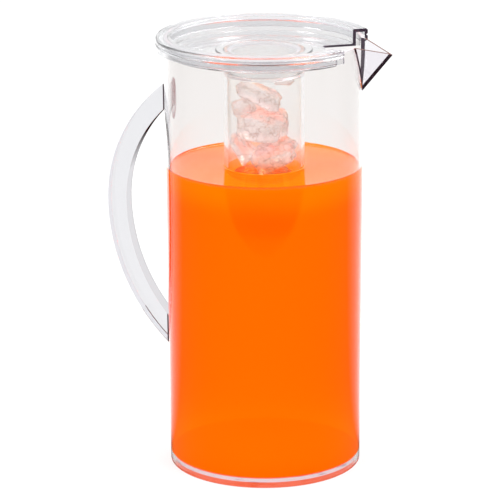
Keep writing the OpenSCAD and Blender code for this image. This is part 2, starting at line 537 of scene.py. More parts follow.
@dataclass(frozen=True)
class OrangeDrink:
    """An orange drink: cloudy, so light that entered elsewhere comes back from inside it. Painted
    light makes it paler near its surface and towards its foot. The small emission stands for
    that inner light, as painted light."""

    name: str = "orange_drink"
    skin_far: str = "#FFAA20"
    skin_near: str = "#FF8C10"
    skin_from: float = 45.0
    skin_to: float = 10.0
    painted_light_near_top: str = "#FF8700"
    deep: str = "#FF6C00"
    foot: str = "#FFA000"
    by_core: tuple[tuple[float, str], ...] = ((130.0, "#FF9400"), (135.0, "#FF6800"),
                                              (150.0, "#FF6800"), (166.0, "#FF9000"))
    by_core_base: str = "#A03800"
    level: float = 170.0
    fade_up: float = 3.0
    fade_down: float = 18.0
    cloud_mm: float = 30.0
    drift_mm: float = 6.0
    clear: float = 0.66
    face_light: float = 0.03
    side_ior: float = 1.02
    surface_ior: float = 1.6
    inner_colour: str = "#FFB000"
    inner_light: float = 13.5
    absorbs_to: str = "#FF7000"
    density: float = 14.0
    foot_mm: float = 60.0
    foot_power: float = 2.2

    def make(self) -> bpy.types.Material:
        """Builds the drink's material: its sides, its surface and what is inside.

        Returns:
            The finished material.
        """
        material, tree = new_material(self.name)
        place = object_place(tree)
        cloud = surface_noise(tree, self.cloud_mm, 1.0)
        drift = add_node(tree, "ShaderNodeMath", {0: cloud, 2: place.outputs["Z"]},
                         {1: self.drift_mm * MM}, operation="MULTIPLY_ADD")
        # Painted light: paler near the surface, the edge of the fade wandering with the noise
        depth = add_node(tree, "ShaderNodeMapRange", {"Value": drift},
                         {"From Min": (self.level + self.fade_up) * MM,
                          "From Max": (self.level - self.fade_down) * MM},
                         interpolation_type="SMOOTHERSTEP")
        # Painted light: paler towards the foot
        low = add_node(tree, "ShaderNodeMapRange", {"Value": place.outputs["Z"]},
                       {"From Min": self.foot_mm * MM, "From Max": 0.0})
        low = add_node(tree, "ShaderNodeMath", {0: low}, {1: self.foot_power}, operation="POWER")
        under = add_node(tree, "ShaderNodeMix", {0: low},
                         {6: linear(self.deep), 7: linear(self.foot)}, data_type="RGBA")
        colour = add_node(tree, "ShaderNodeMix", {0: depth, 7: under.outputs[2]},
                          {6: linear(self.painted_light_near_top)}, data_type="RGBA")
        # Painted sheen: the surface is paler towards its far side, deeper orange in front
        away = add_node(tree, "ShaderNodeMapRange", {"Value": place.outputs["Y"]},
                        {"From Min": self.skin_from * MM, "From Max": self.skin_to * MM})
        above = add_node(tree, "ShaderNodeMix", {0: away},
                         {6: linear(self.skin_far), 7: linear(self.skin_near)},
                         data_type="RGBA")
        top = add_node(tree, "ShaderNodeMapRange", {"Value": place.outputs["Z"]},
                       {"From Min": (self.level - 0.5) * MM, "From Max": (self.level - 0.1) * MM})
        shell = add_node(tree, "ShaderNodeMixShader",
                         {0: top, 1: self.skin(tree, colour, self.side_ior),
                          2: self.skin(tree, above, self.surface_ior)})
        tint = add_node(tree, "ShaderNodeVolumeAbsorption",
                        inputs={"Color": linear(self.absorbs_to), "Density": self.density})
        # The drink glows from inside: painted light for light scattered in it
        painted_inner_glow = add_node(tree, "ShaderNodeEmission", inputs={"Color": linear(self.inner_colour),
                                                           "Strength": self.inner_light})
        inside = add_node(tree, "ShaderNodeAddShader", {0: tint, 1: painted_inner_glow})
        add_node(tree, "ShaderNodeOutputMaterial", {"Surface": shell, "Volume": inside})
        return material

    def skin(self, tree: bpy.types.NodeTree, colour: bpy.types.Node, ior: float) -> bpy.types.Node:
        """Adds the drink's shader for its sides or its surface.

        Args:
            tree: the material's tree.
            colour: the mix that gives the drink's colour there.
            ior: how strongly it mirrors and bends; the wall bends the view of the sides already.

        Returns:
            The shader.
        """
        mixed = colour.outputs[2]
        return add_node(tree, "ShaderNodeBsdfPrincipled",
                        {"Base Color": mixed, "Emission Color": mixed},
                        {"Roughness": 0.02, "IOR": ior, "Transmission Weight": self.clear,
                         "Specular Tint": linear("#909090"), "Emission Strength": self.face_light})

    def make_by_core(self) -> bpy.types.Material:
        """Builds the drink's face against the core: it glows with painted light, and is darker,
        as painted shade, because no drink lies behind it.

        Returns:
            The finished material.
        """
        material, tree = new_material(f"{self.name}_by_core")
        glow = add_node(tree, "ShaderNodeMapRange",
                        {"Value": surface_noise(tree, self.cloud_mm / 2, 2.0)},
                        {"To Min": 0.8, "To Max": 1.1})
        foot, head = self.by_core[0][0], self.by_core[-1][0]
        # Painted shade: darker between 135 and 150 mm, lighter at each end
        rise = add_node(tree, "ShaderNodeMapRange", {"Value": object_place(tree).outputs["Z"]},
                        {"From Min": foot * MM, "From Max": head * MM})
        shade = add_node(tree, "ShaderNodeValToRGB", {"Fac": rise})
        stops = shade.color_ramp.elements
        stops[0].color, stops[1].color = linear(self.by_core[0][1]), linear(self.by_core[-1][1])
        for height, code in self.by_core[1:-1]:
            stops.new((height - foot) / (head - foot)).color = linear(code)
        shell = add_node(tree, "ShaderNodeBsdfPrincipled",
                         {"Emission Strength": glow, "Emission Color": shade},
                         {"Base Color": linear(self.by_core_base), "Roughness": 0.3})
        add_node(tree, "ShaderNodeOutputMaterial", {"Surface": shell})
        return material


@dataclass(frozen=True)
class Ice(Finish):
    """Ice from a tray, broken and wet: clear outside, with a milky network of fine bubbles, clearer
    low down where it has melted. What lies at the drink's level takes its colour: painted light
    from the drink."""

    passes: ClassVar[str] = "#F6F2F0"
    name: str = "ice_wet"
    tint: str = "#FAEAE0"
    tint_drink_light: str = "#FFB468"
    milk: str = "#FFF6F0"
    milk_drink_light: str = "#FF8638"
    vein: str = "#A87050"
    vein_mm: float = 8.0
    vein_half: float = 0.03
    vein_share: float = 0.9
    bubble_mm: float = 7.0
    speckle_mm: float = 1.6
    bump_mm: float = 0.8
    ior: float = 1.31
    haze_least: float = 0.16
    haze_most: float = 0.62
    haze_melted: float = 0.25
    melted: float = 156.0
    melted_over: float = 15.0
    lit_above: float = 175.0
    dark_below: float = 152.0
    lit_fade: float = 4.0

    def look(self, tree: bpy.types.NodeTree) -> bpy.types.Node:
        """Gives clear and milky ice, mixed.

        Args:
            tree: the material's tree.

        Returns:
            The shader.
        """
        height = object_place(tree).outputs["Z"]
        bubbles = surface_noise(tree, self.bubble_mm, 5.0)
        haze = add_node(tree, "ShaderNodeMapRange", {"Value": bubbles},
                        {"From Min": 0.4, "From Max": 0.7, "To Min": self.haze_least,
                         "To Max": self.haze_most})
        melt = add_node(tree, "ShaderNodeMapRange", {"Value": height},
                        {"From Min": self.melted * MM,
                         "From Max": (self.melted + self.melted_over) * MM,
                         "To Min": self.haze_melted})
        haze = add_node(tree, "ShaderNodeMath", {0: haze, 1: melt}, operation="MULTIPLY")
        rough = add_node(tree, "ShaderNodeMath",
                         {0: surface_noise(tree, self.speckle_mm, 3.0), 2: bubbles},
                         {1: 0.5}, operation="MULTIPLY_ADD")
        bump = add_node(tree, "ShaderNodeBump", {"Height": rough},
                        {"Strength": 0.8, "Distance": self.bump_mm * MM})
        # Painted light: between these heights the ice takes the drink's orange
        below, above = (add_node(tree, "ShaderNodeMapRange", {"Value": height},
                                 {"From Min": start * MM, "From Max": end * MM})
                        for start, end in ((self.lit_above, self.lit_above - self.lit_fade),
                                           (self.dark_below, self.dark_below + self.lit_fade)))
        painted_drink_light = add_node(tree, "ShaderNodeMath", {0: below, 1: above}, operation="MULTIPLY")
        off = add_node(tree, "ShaderNodeMath", {0: surface_noise(tree, self.vein_mm, 4.0)},
                       {1: 0.5}, operation="SUBTRACT")
        off = add_node(tree, "ShaderNodeMath", {0: off}, operation="ABSOLUTE")
        vein = add_node(tree, "ShaderNodeMapRange", {"Value": off},
                        {"From Min": self.vein_half, "From Max": 0.0, "To Max": self.vein_share})
        tint, milk = (self.coloured(tree, painted_drink_light, vein, high, low) for high, low in
                      ((self.tint, self.tint_drink_light), (self.milk, self.milk_drink_light)))
        clear = add_node(tree, "ShaderNodeBsdfPrincipled", {"Normal": bump, "Base Color": tint},
                         {"Roughness": 0.03, "IOR": self.ior, "Transmission Weight": 1.0})
        milky = add_node(tree, "ShaderNodeBsdfPrincipled", {"Normal": bump, "Base Color": milk},
                         {"Roughness": 0.4, "IOR": self.ior, "Transmission Weight": 0.3})
        return add_node(tree, "ShaderNodeMixShader", {0: haze, 1: clear, 2: milky})

    def coloured(self, tree: bpy.types.NodeTree, painted_drink_light: bpy.types.Node, vein: bpy.types.Node,
                 high: str, low: str) -> bpy.types.NodeSocket:
        """Mixes a colour of the ice with its veins.

        Args:
            tree: the material's tree.
            painted_drink_light: gives 1 at the drink's level, where the orange is painted light.
            vein: gives how strong a vein is.
            high: the ice's colour.
            low: its colour at the drink's level, painted as light from the drink.

        Returns:
            The colour's socket.
        """
        plain = add_node(tree, "ShaderNodeMix", {0: painted_drink_light},
                         {6: linear(high), 7: linear(low)}, data_type="RGBA")
        return add_node(tree, "ShaderNodeMix", {0: vein, 6: plain.outputs[2]},
                        {7: linear(self.vein)}, data_type="RGBA").outputs[2]


@dataclass(frozen=True)
class Silicone(Finish):
    """Clear silicone rubber: cloudy, soft gloss."""

    passes: ClassVar[str] = "#E4E2E4"
    name: str = "silicone_clear"
    tint: str = "#ECEAEC"
    grain_mm: float = 1.5

    def look(self, tree: bpy.types.NodeTree) -> bpy.types.Node:
        """Gives the rubber's shader.

        Args:
            tree: the material's tree.

        Returns:
            The shader.
        """
        bump = add_node(tree, "ShaderNodeBump", {"Height": surface_noise(tree, self.grain_mm)},
                        {"Strength": 0.3, "Distance": 0.05 * MM})
        return add_node(tree, "ShaderNodeBsdfPrincipled", {"Normal": bump},
                        {"Base Color": linear(self.tint), "Roughness": 0.35, "IOR": 1.41,
                         "Transmission Weight": 0.7})


def rounded(corners: Iterable[tuple[float, float, float]], steps: int = 8,
            closed: bool = True) -> list[Point]:
    """Rounds the corners of an outline. A guard point beside each rounding keeps the flat next to
    it flat in the shading.

    Args:
        corners: each corner's radius from the axis, height and rounding, in millimetres.
        steps: straight pieces in each rounding.
        closed: whether the last corner joins the first.

    Returns:
        The outline's points, in metres.
    """
    spots = list(corners)
    points: list[Point] = []
    for i, (r, z, rounding) in enumerate(spots):
        here = Vector((r, z))
        ends = not closed and i in (0, len(spots) - 1)
        if rounding <= 0 or ends:
            points.append((r * MM, z * MM))
            continue
        before = (Vector(spots[i - 1][:2]) - here).normalized()
        after = (Vector(spots[(i + 1) % len(spots)][:2]) - here).normalized()
        half = before.angle(after) / 2
        centre = here + (before + after).normalized() * (rounding / math.sin(half))
        start = here + before * (rounding / math.tan(half)) - centre
        end = here + after * (rounding / math.tan(half)) - centre
        sweep = start.angle_signed(end)
        arc = [centre + Matrix.Rotation(-sweep * k / steps, 2) @ start for k in range(steps + 1)]
        guarded = [arc[0] + before * GUARD, *arc, arc[-1] + after * GUARD]
        points += [(spot.x * MM, spot.y * MM) for spot in guarded]
    return points


def to_object(name: str, bm: bmesh.types.BMesh, smooth_angle: float = CRISP) -> bpy.types.Object:
    """Turns a bmesh into a scene object at the origin.

    Args:
        name: the object's name.
        bm: the finished bmesh, which is freed.
        smooth_angle: edges sharper than this stay crisp, in degrees.

    Returns:
        The object.
    """
    bmesh.ops.remove_doubles(bm, verts=bm.verts, dist=MERGE)
    bmesh.ops.recalc_face_normals(bm, faces=bm.faces)
    for face in bm.faces:
        face.smooth = True
    mesh = bpy.data.meshes.new(name)
    bm.to_mesh(mesh)
    bm.free()
    mesh.set_sharp_from_angle(angle=math.radians(smooth_angle))
    piece = bpy.data.objects.new(name, mesh)
    bpy.context.scene.collection.objects.link(piece)
    return piece


def turned(name: str, outline: Sequence[Point], steps: int = 192) -> bpy.types.Object:
    """Turns an outline once round the Z axis. An outline that ends on the axis is left open there.

    Args:
        name: the object's name.
        outline: radius and height of each point, in metres.
        steps: facets round the axis.

    Returns:
        The closed object.
    """
    bm = bmesh.new()
    spots = [bm.verts.new((r, 0, z)) for r, z in outline]
    follow = list(zip(spots, spots[1:]))
    if outline[0][0] > 0 or outline[-1][0] > 0:
        follow.append((spots[-1], spots[0]))
    edges = [bm.edges.new(pair) for pair in follow]
    bmesh.ops.spin(bm, geom=spots + edges, cent=(0, 0, 0), axis=(0, 0, 1), steps=steps,
                   angle=math.tau, use_merge=True)
    return to_object(name, bm)


def dress(piece: bpy.types.Object, *materials: bpy.types.Material) -> None:
    """Gives a piece its materials in order, in place of those it has, and keeps each face's."""
    which = [face.material_index for face in piece.data.polygons]
    piece.data.materials.clear()
    for material in materials:
        piece.data.materials.append(material)
    piece.data.polygons.foreach_set("material_index", which)


def settle(piece: bpy.types.Object, body: Body, slot: Slot, *nodes: str) -> None:
    """Ties a piece to its body and hides the CAD nodes that it stands for.

    Args:
        piece: the finished piece.
        body: the body that it rides on.
        slot: the record's slot; not used.
        nodes: CAD nodes that it replaces.
    """
    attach(piece, body.value)
    if nodes:
        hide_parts(*nodes)
    log.info("%s rides on %s", piece.name, body.value)


def carve(piece: bpy.types.Object, tool: bpy.types.Object) -> None:
    """Cuts a tool's shape out of a piece. The cut faces keep the tool's material.

    Args:
        piece: the piece to cut.
        tool: the shape to take away, which is deleted.
    """
    cut = piece.modifiers.new("cut", "BOOLEAN")
    cut.operation, cut.solver = "DIFFERENCE", "EXACT"
    cut.object, cut.material_mode = tool, "TRANSFER"
    bpy.context.view_layer.update()
    done = piece.evaluated_get(bpy.context.evaluated_depsgraph_get())
    mesh = bpy.data.meshes.new_from_object(done)
    piece.modifiers.clear()
    old, piece.data = piece.data, mesh
    bpy.data.meshes.remove(old)
    bpy.data.objects.remove(tool)
    mesh.set_sharp_from_angle(angle=math.radians(CRISP))


def halved(bm: bmesh.types.BMesh, point: Vector, normal: Vector, skin: int = 0) -> None:
    """Cuts away what lies on a plane's outer side and closes the cut with one face.

    Args:
        bm: the closed shape to cut.
        point: a point of the plane.
        normal: the direction that points away from what stays.
        skin: the material index of the new face.
    """
    cut = bmesh.ops.bisect_plane(bm, geom=bm.verts[:] + bm.edges[:] + bm.faces[:], dist=1e-8,
                                 plane_co=point, plane_no=normal, clear_outer=True)
    rim = [e for e in cut["geom_cut"] if isinstance(e, bmesh.types.BMEdge)]
    if rim:
        new = bmesh.ops.edgenet_fill(bm, edges=rim)
        for face in new["faces"]:
            face.material_index = skin


@dataclass
class Jug:
    """The jug: an acrylic tube with a slot for the spout, its floor, spout plates and handle."""

    foot_r: float = 53.2
    rim_r: float = 55.0
    rim_h: float = 241.2
    wall: float = 2.2
    floor: float = 5.8
    edge: float = 0.7
    inner_edge: float = 0.2
    reach: float = 71.6
    tip_h: float = 235.5
    keel_h: float = 214.6
    half_a: float = 15.0
    plate: float = 1.4
    mitre_gap: float = 0.02
    bond_gap: float = 0.05

    def __post_init__(self) -> None:
        """Works out the spout's planes from its tip, the foot of its keel and the slot's corner."""
        half = math.radians(self.half_a)
        foot = self.wall_r(self.keel_h)
        corner_x = self.rim_r * math.cos(half)
        rise = self.rim_h - self.keel_h
        self.lean = math.atan2(self.reach - foot, self.tip_h - self.keel_h)
        self.vee = math.atan2(self.rim_r * math.sin(half),
                              rise * math.sin(self.lean) - (corner_x - foot) * math.cos(self.lean))
        self.brow = math.atan2(self.rim_h - self.tip_h, self.reach - corner_x)
        self.keel_foot = Vector((foot, 0, self.keel_h)) * MM
        self.tip = Vector((self.reach, 0, self.tip_h)) * MM

    def wall_r(self, height: float) -> float:
        """Gives the wall's outer radius at a height, in millimetres."""
        return self.foot_r + (self.rim_r - self.foot_r) * height / self.rim_h

    def side_normal(self, side: int) -> Vector:
        """Gives the outward normal of one spout plate."""
        level = Vector((math.cos(self.lean), 0, -math.sin(self.lean)))
        return level * math.sin(self.vee) + Vector((0, side * math.cos(self.vee), 0))

    def block(self) -> bmesh.types.BMesh:
        """Starts a block round the spout, to be cut down by planes."""
        bm = bmesh.new()
        bmesh.ops.create_cube(bm, size=2 * self.rim_r * MM)
        bmesh.ops.translate(bm, verts=bm.verts, vec=self.keel_foot)
        return bm

    def wall_piece(self) -> None:
        """Makes the wall: a tapered tube with rounded ends, slotted to take the plates."""
        top, low = self.wall_r(self.rim_h), self.wall_r(0)
        outline = rounded([(low - self.wall, 0, self.inner_edge), (low, 0, self.edge),
                           (top, self.rim_h, self.edge),
                           (top - self.wall, self.rim_h, self.edge)])
        wall = turned("jug_wall", outline, FINE_STEPS)
        for face in wall.data.polygons:
            face.material_index = int(face.center.z > (self.rim_h - self.edge) * MM)
        dress(wall, TUBE_ACRYLIC.make(), RIM_EDGE.make())
        wedge = self.block()
        for side, skin in ((1, 0), (-1, 1)):
            normal = self.side_normal(side)
            halved(wedge, self.keel_foot - normal * self.plate * MM, normal, skin)
        tool = to_object("slot_tool", wedge)
        dress(tool, SAWN_EDGE.make(), CLEAR_EDGE.make())
        carve(wall, tool)
        settle(wall, Body.JUG, Slot.JUG, "body_wall")

    def wall_form(self) -> bpy.types.Object:
        """Makes the wall's outside as a solid, to trim what is cemented to it."""
        high = self.rim_h * 1.1
        outline = [(0, 0), ((self.wall_r(0) + self.bond_gap) * MM, 0),
                   ((self.wall_r(high) + self.bond_gap) * MM, high * MM), (0, high * MM)]
        form = turned("wall_form", outline, FINE_STEPS)
        dress(form, SHEET_ACRYLIC.make())
        return form

    def spout_plate(self, name: str, side: int) -> None:
        """Makes one flat plate of the spout, mitred along the keel and trimmed to the wall.

        Args:
            name: the CAD node that it stands for.
            side: 1 for the plate on the +Y side, -1 for the other.
        """
        bm = self.block()
        normal = self.side_normal(side)
        halved(bm, self.keel_foot, normal)
        halved(bm, self.keel_foot - normal * self.plate * MM, -normal)
        halved(bm, Vector((0, side * self.mitre_gap * MM, 0)), Vector((0, -side, 0)), 1)
        halved(bm, self.tip, Vector((math.sin(self.brow), 0, math.cos(self.brow))), 2)
        halved(bm, Vector(), Vector((-1, 0, 0)))
        bmesh.ops.recalc_face_normals(bm, faces=bm.faces)
        plate = to_object(f"{name}_sheet", bm)
        dress(plate, SHEET_ACRYLIC.make(), CEMENTED_EDGE.make(), SCRAPED_EDGE.make())
        carve(plate, self.wall_form())
        settle(plate, Body.JUG, Slot.SHEET, name)

    def floor_disc(self) -> None:
        """Makes the floor: a thick disc set into the foot of the wall."""
        inside = self.wall + self.bond_gap
        disc = turned("jug_floor", rounded([
            (0, 0, 0), (self.wall_r(0) - inside, 0, self.inner_edge),
            (self.wall_r(self.floor) - inside, self.floor, self.inner_edge), (0, self.floor, 0)],
            closed=False), FINE_STEPS)
        dress(disc, FloorAcrylic().make())
        settle(disc, Body.JUG, Slot.JUG, "base_disc")

    def build(self) -> None:
        """Makes the wall, the floor and the spout."""
        self.wall_piece()
        self.floor_disc()
        self.spout_plate("spout_plate_left", 1)
        self.spout_plate("spout_plate_right", -1)


@dataclass
class Handle:
    """The handle: a flat-sided bar bent in two arcs that meet at its widest point."""

    reach: float = 88.9
    middle: float = 146.9
    upper_r: float = 84.6
    lower_r: float = 115.5
    width: float = 10.9
    thick: float = 10.0
    edge: float = 0.4
    sweep: float = 75.0
    steps: int = 72
    inner_centre: float = 60.0
    dark_to: float = 84.0

    def section(self, bm: bmesh.types.BMesh) -> list[bmesh.types.BMEdge]:
        """Draws the bar's rounded section at its widest point.

        Args:
            bm: the bmesh that gets it.

        Returns:
            The edges of the section.
        """
        outer, inner, half = -self.reach, -self.reach + self.width, self.thick / 2
        loop = rounded([(outer, -half, self.edge), (inner, -half, self.edge),
                        (inner, half, self.edge), (outer, half, self.edge)], 6)
        spots = [bm.verts.new((x, y, self.middle * MM)) for x, y in loop]
        return [bm.edges.new(pair) for pair in zip(spots, spots[1:] + spots[:1])]

    def build(self, jug: Jug) -> None:
        """Bends the bar and trims its ends to the wall.

        Args:
            jug: the jug that it is cemented to.
        """
        bm = bmesh.new()
        start = self.section(bm)
        for radius, side in ((self.upper_r, 1), (self.lower_r, -1)):
            centre = Vector((radius - self.reach, 0, self.middle)) * MM
            bent = bmesh.ops.spin(bm, geom=start, cent=centre, axis=(0, side, 0),
                                  steps=self.steps, angle=math.radians(self.sweep))
            end = [e for e in bent["geom_last"] if isinstance(e, bmesh.types.BMEdge)]
            bmesh.ops.edgenet_fill(bm, edges=end)
        bar = to_object("handle_bar", bm)
        middle = Vector(((self.inner_centre - self.reach) * MM, 0, self.middle * MM))
        for face in bar.data.polygons:
            # The inner edge's faces look towards the middle
            inward = face.normal.dot(middle - face.center) > 0
            sideways = abs(face.normal.y)
            face.material_index = 0 if sideways > math.sqrt(0.5) else 2 if inward else 1
            # The rounding between a side and the outer edge, at the lower end
            if 0.1 < sideways < 0.99 and not inward and face.center.z < self.dark_to * MM:
                face.material_index = 3
        dress(bar, BAR_ACRYLIC.make(), OUTER_EDGE.make(), INNER_EDGE.make(), RUN_EDGE.make())
        form = jug.wall_form()
        dress(form, BONDED_END.make())
        carve(bar, form)
        settle(bar, Body.JUG, Slot.BAR, "handle")


@dataclass
class Lid:
    """The lid: one moulding with a sunk plate, a channel over the rim, two beads and a collar."""

    top: float = 243.05
    recess: float = 8.2
    wall: float = 1.8
    plate: float = 1.2
    rim_r: float = 59.38
    skirt: float = 7.2
    groove_drop: float = 3.4
    groove_depth: float = 1.0
    groove_w: float = 1.3
    well_in_r: float = 50.75
    pad_r: float = 26.5
    pad_h: float = 0.8
    collar_r: float = 22.2
    collar_in_r: float = 20.3
    collar_h: float = 9.5
    notch_r: float = 33.4
    notch_half_a: float = 30.0

    def outline(self) -> list[Point]:
        """Draws half of the lid's section. Each corner has a radius, a height and a rounding.

        Returns:
            The outline from the axis round to the axis, in metres.
        """
        plate = self.top - self.recess
        under = plate - self.plate
        collar = plate - self.wall - self.collar_h
        groove = self.top - self.groove_drop
        foot = self.top - self.skirt
        well_out = self.well_in_r + self.wall
        skirt_in = self.rim_r - self.wall
        return rounded([
            (0, plate + self.pad_h, 0), (self.pad_r, plate + self.pad_h, 0.35),
            (self.pad_r, plate, 0.25), (self.well_in_r, plate, 0.5),
            (self.well_in_r, self.top, 0.85), (self.rim_r, self.top, 1.2),
            (self.rim_r, groove + self.groove_w / 2, 0.5),
            (self.rim_r - self.groove_depth, groove, 0.1),
            (self.rim_r, groove - self.groove_w / 2, 0.5), (self.rim_r, foot, 0.7),
            (skirt_in, foot, 0.2), (skirt_in, self.top - self.wall, 0.3),
            (well_out, self.top - self.wall, 0.3), (well_out, under, 0.3),
            (self.collar_r, under, 0.4), (self.collar_r, collar, 0.45),
            (self.collar_in_r, collar, 0.2), (self.collar_in_r, under, 0.2), (0, under, 0)],
            closed=False)

    def notch_tool(self) -> bpy.types.Object:
        """Makes the sector that the pouring notch takes out.

        Returns:
            The cutting tool, with the cut edge's material.
        """
        out = self.rim_r + self.wall
        low = self.top - self.recess - 2 * self.wall
        bm = bmesh.new()
        spots = [bm.verts.new((r * MM, 0, z * MM)) for r, z in
                 ((self.notch_r, low), (out, low), (out, self.top + self.wall),
                  (self.notch_r, self.top + self.wall))]
        face = bm.faces.new(spots)
        half = math.radians(self.notch_half_a)
        bmesh.ops.rotate(bm, verts=bm.verts, cent=(0, 0, 0), matrix=Matrix.Rotation(-half, 3, "Z"))
        bmesh.ops.spin(bm, geom=[face], cent=(0, 0, 0), axis=(0, 0, 1), steps=48,
                       angle=2 * half, use_duplicate=False)
        tool = to_object("notch_tool", bm)
        dress(tool, SAWN_EDGE.make())
        return tool

    def build(self) -> None:
        """Makes the lid in place of its CAD node."""
        lid = turned("lid_moulding", self.outline(), FINE_STEPS)
        dress(lid, LID_PLASTIC.make())
        carve(lid, self.notch_tool())
        settle(lid, Body.LID, Slot.LID, "lid")


@dataclass
class Core:
    """The ice core: a tube with a neck, a straight part and a long rounded end."""

    tube_r: float = 22.2
    wall: float = 2.0
    shoulder: float = 223.5
    mouth: float = 231.8
    neck_r: float = 20.1
    neck_in_r: float = 18.1
    straight: float = 53.0
    nose: float = 52.0
    nose_steps: int = 40

    def nose_curve(self, radius: float, length: float) -> list[Point]:
        """Draws the quarter ellipse of the rounded end.

        Args:
            radius: where it starts, from the axis, in millimetres.
            length: how far down it reaches, in millimetres.

        Returns:
            Points from the side down to the axis, in metres.
        """
        top = self.shoulder - self.straight
        turns = [math.pi / 2 * i / self.nose_steps for i in range(self.nose_steps)]
        side = [(radius * math.cos(a) * MM, (top - length * math.sin(a)) * MM) for a in turns]
        return side + [(0.0, (top - length) * MM)]

    def outline(self) -> list[Point]:
        """Draws half of the tube's section.

        Returns:
            The outline from the tip outside to the tip inside, in metres.
        """
        inner_r = self.tube_r - self.wall
        outside = self.nose_curve(self.tube_r, self.nose)[::-1]
        inside = self.nose_curve(inner_r, self.nose - self.wall)
        neck = rounded([(self.tube_r, self.shoulder - self.straight, 0),
                        (self.tube_r, self.shoulder, 0.3), (self.neck_r, self.shoulder, 0.1),
                        (self.neck_r, self.mouth, 0.3), (self.neck_in_r, self.mouth, 0.3),
                        (self.neck_in_r, self.shoulder, 0.8),
                        (inner_r, self.shoulder - self.wall, 0.8),
                        (inner_r, self.shoulder - self.straight, 0)], closed=False)
        return outside[:-1] + neck + inside[1:]

    def build(self) -> None:
        """Makes the tube in place of its CAD node, and gives the sealing ring's node its finish."""
        core = turned("ice_core", self.outline(), 160)
        skin = (self.tube_r - self.wall / 2) * MM
        for face in core.data.polygons:
            outside = face.center.xy.length > skin and face.normal.dot(face.center) > 0
            face.material_index = int(outside)
        dress(core, CORE_PLASTIC.make(), FOGGED_CORE.make())
        settle(core, Body.CORE, Slot.CORE, "ice_tube")
        dress(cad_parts["tube_seal"], Silicone().make())
        log.info("tube_seal carried over")


@dataclass
class Drink:
    """The drink in the jug: it fills the jug round the core up to its level."""

    level: float = 170.0
    press: float = 0.08
    meniscus: float = 1.2

    def outline(self, jug: Jug, core: Core) -> list[Point]:
        """Draws half of the drink's section, pressed a hair into the plastic round it.

        Args:
            jug: the jug that holds it.
            core: the tube that dips into it.

        Returns:
            The outline from the axis at the floor to the axis under the core, in metres.
        """
        tube_r = core.tube_r - self.press
        inset = jug.wall - self.press
        top = jug.wall_r(self.level) - inset
        low = jug.floor - self.press
        # How far in from the wall or out from the core, and how high above the level
        at_wall = ((0.0, self.meniscus), (0.35, 0.5), (1.2, 0.12), (2.6, 0.0))
        at_core = ((2.4, 0.0), (1.0, 0.05), (0.3, 0.18), (0.0, self.meniscus / 3))
        rest = [(0.0, low), (jug.wall_r(low) - inset, low)]
        rest += [(top - inward, self.level + rise) for inward, rise in at_wall]
        rest += [(tube_r + outward, self.level + rise) for outward, rise in at_core]
        nose = [(r, z) for r, z in core.nose_curve(tube_r, core.nose - self.press)
                if z < self.level * MM]
        return [(r * MM, z * MM) for r, z in rest] + nose

    def build(self, jug: Jug, core: Core) -> None:
        """Pours the drink.

        Args:
            jug: the jug that holds it.
            core: the tube that dips into it.
        """
        drink = turned("drink", self.outline(jug, core))
        reach = (core.tube_r + self.press) * MM
        for face in drink.data.polygons:
            by_core = face.center.xy.length < reach and face.center.z > 2 * jug.floor * MM
            face.material_index = int(by_core)
        finish = OrangeDrink()
        dress(drink, finish.make(), finish.make_by_core())
        settle(drink, Body.JUG, Slot.JUG)


@dataclass(frozen=True)
class Lump:
    """One lump of ice: where it lies seen from the photograph's side, its size and its tilt."""

    across: float
    away: float
    height: float
    size: tuple[float, float, float]
    tilt: float


